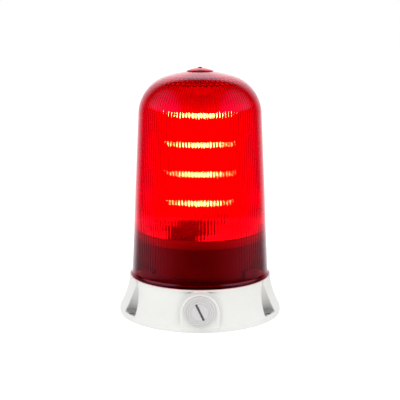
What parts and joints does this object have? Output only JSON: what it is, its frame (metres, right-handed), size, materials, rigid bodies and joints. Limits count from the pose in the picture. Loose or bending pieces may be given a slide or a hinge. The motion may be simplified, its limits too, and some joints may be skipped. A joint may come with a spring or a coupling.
{
  "type": "alarm beacon",
  "caption": "Alarm beacon: fluted translucent red dome over a flared round base with an arched side cable entry and an LED tower inside.",
  "frame": {"origin": "centre of the underside of the base, on the mounting surface", "axes": "+Z along the dome's axis towards its tip, -Y towards the side cable entry (front), +X to the right seen from the front"},
  "size_m": [0.15, 0.154, 0.226],
  "materials": {
    "housing": "fine-grained light grey moulding",
    "plug": "satin grey moulding",
    "rubber": "matt black rubber",
    "dome": "clear red polycarbonate, fluted inside",
    "chassis": "black moulding",
    "board": "green solder mask",
    "led_board": "white solder mask",
    "steel": "zinc plated",
    "aluminium": "extruded, satin",
    "terminal": "green moulding",
    "component": "black epoxy",
    "sleeve": "shrink sleeve",
    "fuse_glass": "clear glass with metal ends",
    "connector": "natural nylon",
    "lead_positive": "red insulation",
    "lead_negative": "black insulation"
  },
  "bodies": {
    "root": {"base_housing": "housing", "mounting_gasket": "rubber", "cable_grommet": "rubber", "chassis_cup": "chassis", "driver_board": "board", "chassis_screw_1": "steel", "chassis_screw_2": "steel", "chassis_screw_3": "steel", "board_screw_1": "steel", "board_screw_2": "steel", "board_screw_3": "steel", "terminal_block": "terminal", "terminal_screw_1": "steel", "terminal_screw_2": "steel", "terminal_screw_3": "steel", "terminal_screw_4": "steel", "terminal_screw_5": "steel", "smoothing_capacitor": "sleeve", "voltage_regulator": "component", "rectifier_bridge": "component", "inductor": "component", "controller_chip": "component", "fuse": "fuse_glass", "fuse_clip_1": "steel", "fuse_clip_2": "steel", "tower_foot": "chassis", "tower_column": "aluminium", "tower_cap": "chassis", "tower_bolt": "steel", "led_board_1": "led_board", "led_board_2": "led_board", "led_board_3": "led_board", "led_board_4": "led_board", "led_board_5": "led_board", "led_board_6": "led_board", "tower_connector": "connector", "tower_lead_1": "lead_positive", "tower_lead_2": "lead_negative"},
    "dome_seal_body": {"dome_seal": "rubber"},
    "dome_body": {"dome": "dome"},
    "washer_body": {"cable_plug_washer": "rubber"},
    "plug_body": {"cable_plug": "plug"}
  },
  "joints": [
    {"name": "dome_lift", "type": "slide", "parent": "root", "child": "dome_seal_body", "axis": [0, 0, 1], "range_m": [0, 0.165]},
    {"name": "dome_twist", "type": "hinge", "parent": "dome_seal_body", "child": "dome_body", "pos_m": [0, 0, 0.036], "axis": [0, 0, -1], "range_deg": [0, 35]},
    {"name": "plug_out", "type": "slide", "parent": "root", "child": "washer_body", "axis": [0, -1, 0], "range_m": [0, 0.0136]},
    {"name": "plug_turn", "type": "hinge", "parent": "washer_body", "child": "plug_body", "pos_m": [0, -0.0752, 0.0197], "axis": [0, -1, 0], "range_deg": [0, 3240]}
  ],
  "couplings": [
    {"joint": "plug_out", "follows": "plug_turn", "m_per_rad": 0.00023873}
  ]
}
